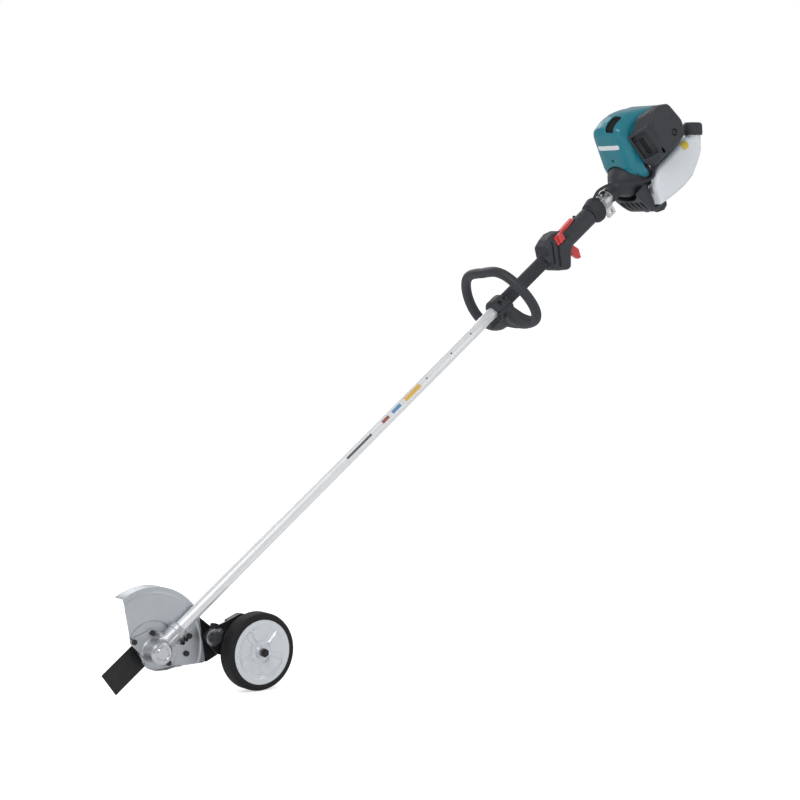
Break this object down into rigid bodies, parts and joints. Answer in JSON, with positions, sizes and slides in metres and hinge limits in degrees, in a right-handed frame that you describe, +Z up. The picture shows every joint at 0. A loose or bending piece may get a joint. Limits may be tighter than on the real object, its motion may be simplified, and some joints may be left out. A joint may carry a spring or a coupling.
{
  "type": "stick lawn edger",
  "caption": "Petrol stick lawn edger with a straight shaft, loop handle, throttle grip, guarded flat blade and a height-adjustable depth wheel.",
  "frame": {"origin": "arbor axis at the outer face of the blade nut, where the reduced free end starts", "axes": "+Y along the arbor toward its free end (blade side), +X rearward toward the operator and engine, +Z up in the working posture"},
  "size_m": [1.4586, 0.2269, 1.1625],
  "materials": {
    "charcoal_plastic": "moulded, fine texture",
    "teal_plastic": "gloss moulded",
    "tank_plastic": "translucent white",
    "red_plastic": "satin moulded",
    "cast_aluminium": "as cast, satin",
    "tube_aluminium": "anodised satin",
    "pressed_zinc": "zinc plated sheet",
    "bright_steel": "zinc plated",
    "bearing_steel": "ground",
    "black_steel": "black painted",
    "black_rubber": "moulded rubber",
    "tyre_rubber": "solid rubber tyre",
    "hub_plastic": "silver grey moulded",
    "filter_felt": "felt and foam",
    "nylon_liner": "nylon"
  },
  "bodies": {
    "machine_frame": {"air_cleaner_cover": "charcoal_plastic", "air_filter": "filter_felt", "cap_screws": "black_steel", "carburettor": "cast_aluminium", "clutch_housing": "charcoal_plastic", "connecting_rod": "bright_steel", "crankcase": "cast_aluminium", "crankshaft": "bright_steel", "cylinder": "cast_aluminium", "damper_collar": "black_rubber", "debris_shield": "pressed_zinc", "drive_shaft_bushes": "nylon_liner", "engine_cover": "teal_plastic", "fuel_tank": "tank_plastic", "gear_case": "cast_aluminium", "gear_case_bearings": "bearing_steel", "gear_case_cap": "cast_aluminium", "grease_plug": "bright_steel", "grip_sleeve": "black_rubber", "hanger_band": "bright_steel", "loop_handle": "charcoal_plastic", "loop_handle_clamp": "charcoal_plastic", "muffler": "bright_steel", "piston": "cast_aluminium", "pivot_bolt": "bright_steel", "shaft_tube": "tube_aluminium", "shield_bolts": "black_steel", "spark_plug": "bright_steel", "starter_housing": "charcoal_plastic", "tank_guard": "charcoal_plastic", "throttle_cable": "black_rubber", "throttle_housing_left": "charcoal_plastic", "throttle_housing_right": "charcoal_plastic", "wheel_bracket": "black_steel"},
    "blade_drive": {"output_gear": "bright_steel", "output_shaft": "bright_steel", "blade_washers": "bright_steel", "edger_blade": "black_steel", "blade_nut": "bright_steel"},
    "drive_line": {"input_pinion": "bright_steel", "drive_shaft": "bright_steel", "clutch_drum": "black_steel"},
    "flywheel_set": {"flywheel": "cast_aluminium", "clutch_shoes": "black_steel"},
    "height_arm": {"wheel_arm": "black_steel", "pivot_plate": "bright_steel", "depth_lock_bolt": "bright_steel", "wheel_axle": "black_steel", "axle_nut": "black_steel"},
    "depth_wheel": {"wheel_hub": "hub_plastic", "wheel_tyre": "tyre_rubber"},
    "clamp_knob": {"depth_clamp_knob": "charcoal_plastic"},
    "trigger": {"throttle_trigger": "red_plastic"},
    "lockoff": {"lockoff_lever": "red_plastic"},
    "switch": {"stop_switch": "red_plastic"},
    "tank_cap": {"fuel_cap": "charcoal_plastic"},
    "recoil_reel": {"starter_reel": "charcoal_plastic"},
    "recoil_handle": {"starter_handle": "charcoal_plastic"}
  },
  "joints": [
    {"name": "blade_spin", "type": "hinge", "parent": "machine_frame", "child": "blade_drive", "pos_m": [0, -0.051, 0], "axis": [0, 1, 0], "continuous": true},
    {"name": "shaft_spin", "type": "hinge", "parent": "machine_frame", "child": "drive_line", "pos_m": [0.01598, -0.051, 0.01202], "axis": [0.7992, 0, 0.6011], "continuous": true},
    {"name": "flywheel_spin", "type": "hinge", "parent": "machine_frame", "child": "flywheel_set", "pos_m": [1.20274, -0.051, 0.90468], "axis": [0.7992, 0, 0.6011], "continuous": true},
    {"name": "height_adjust", "type": "hinge", "parent": "machine_frame", "child": "height_arm", "pos_m": [0.12, -0.061, 0.015], "axis": [0, 1, 0], "range_deg": [-25, 12]},
    {"name": "wheel_roll", "type": "hinge", "parent": "height_arm", "child": "depth_wheel", "pos_m": [0.203, -0.086, -0.017], "axis": [0, 1, 0], "continuous": true},
    {"name": "clamp_knob_turn", "type": "hinge", "parent": "height_arm", "child": "clamp_knob", "pos_m": [0.12, -0.07, 0.015], "axis": [0, -1, 0], "range_deg": [-170, 170]},
    {"name": "trigger_pull", "type": "hinge", "parent": "machine_frame", "child": "trigger", "pos_m": [1.02446, -0.051, 0.74743], "axis": [0, -1, 0], "range_deg": [0, 16], "stiffness_Nm_per_rad": 0.6, "springref_deg": -8.59},
    {"name": "lockoff_press", "type": "hinge", "parent": "machine_frame", "child": "lockoff", "pos_m": [1.00432, -0.051, 0.7767], "axis": [0, 1, 0], "range_deg": [0, 6], "stiffness_Nm_per_rad": 0.6, "springref_deg": -8.59},
    {"name": "stop_switch_slide", "type": "slide", "parent": "machine_frame", "child": "switch", "axis": [0.7992, 0, 0.6011], "range_m": [0, 0.005]},
    {"name": "fuel_cap_turn", "type": "hinge", "parent": "machine_frame", "child": "tank_cap", "pos_m": [1.34224, -0.101, 0.99258], "axis": [0, 0, 1], "continuous": true},
    {"name": "starter_pull", "type": "slide", "parent": "machine_frame", "child": "recoil_handle", "axis": [0, 1, 0], "range_m": [0, 0.45]},
    {"name": "starter_reel_spin", "type": "hinge", "parent": "machine_frame", "child": "recoil_reel", "pos_m": [1.28345, -0.051, 0.9654], "axis": [0.7992, 0, 0.6011], "range_deg": [-1172.96, 0]}
  ],
  "couplings": [
    {"joint": "shaft_spin", "follows": "blade_spin", "ratio": 1.4615},
    {"joint": "starter_reel_spin", "follows": "starter_pull", "rad_per_m": -45.455}
  ]
}
